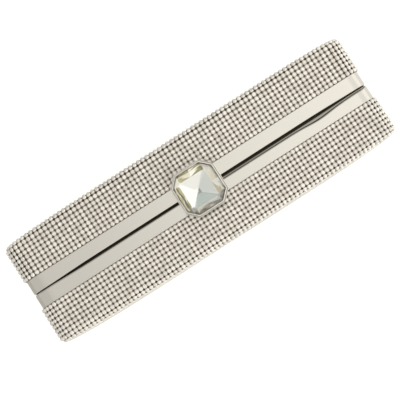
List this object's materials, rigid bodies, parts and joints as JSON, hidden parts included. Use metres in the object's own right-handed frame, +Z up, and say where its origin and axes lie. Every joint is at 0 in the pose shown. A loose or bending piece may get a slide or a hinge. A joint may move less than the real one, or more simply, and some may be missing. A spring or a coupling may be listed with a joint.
{
  "type": "evening clutch bag",
  "caption": "Rigid evening clutch bag: two trays covered in rhinestone mesh, hinged in a polished metal frame and closed by a press-down clasp set with a large cut stone.",
  "frame": {"origin": "middle of the base, on the surface that the bag stands on", "axes": "+X along the seam and the bag's length, -Y towards the front half, which opens, +Z up towards the clasp; the halves part on the plane Y = 0"},
  "size_m": [0.206, 0.0616, 0.1209],
  "materials": {
    "polished_frame": "plated and polished, with soft wide reflections",
    "shell": "plain moulded, hidden under the mesh",
    "rhinestone_mesh": "clear foil-backed stones in a silver net",
    "lining": "satin, pale grey",
    "hinge_steel": "stamped and plated",
    "rivets": "turned, bright",
    "spring_steel": "plain drawn wire",
    "polished_setting": "cast, plated and polished",
    "crystal": "clear cut stone",
    "foil": "bright foil backing"
  },
  "bodies": {
    "back_half": {"back_frame": "polished_frame", "back_shell": "shell", "back_rhinestone_mesh": "rhinestone_mesh", "back_lining": "lining", "back_pocket": "lining", "back_hinge_leaf_left": "hinge_steel", "back_hinge_leaf_right": "hinge_steel", "back_leaf_rivets": "rivets", "hinge_pin_left": "rivets", "hinge_pin_right": "rivets", "clasp_base": "polished_frame", "clasp_base_rivets": "rivets", "clasp_spring": "spring_steel"},
    "front_half": {"front_frame": "polished_frame", "front_shell": "shell", "front_rhinestone_mesh": "rhinestone_mesh", "front_lining": "lining", "front_hinge_leaf_left": "hinge_steel", "front_hinge_leaf_right": "hinge_steel", "front_leaf_rivets": "rivets", "keeper": "hinge_steel", "keeper_rivets": "rivets"},
    "clasp_button": {"stone_setting": "polished_setting", "crystal": "crystal", "crystal_foil": "foil", "clasp_stem": "rivets", "stem_clip": "spring_steel", "latch_hook": "hinge_steel"}
  },
  "joints": [
    {"name": "lid_hinge", "type": "hinge", "parent": "back_half", "child": "front_half", "pos_m": [0, 0, 0.0015], "axis": [1, 0, 0], "range_deg": [0, 75]},
    {"name": "clasp_press", "type": "slide", "parent": "back_half", "child": "clasp_button", "axis": [0, 0, -1], "range_m": [0, 0.0018], "stiffness_N_per_m": 400, "springref_m": -0.003, "deforming": ["clasp_spring"]}
  ]
}
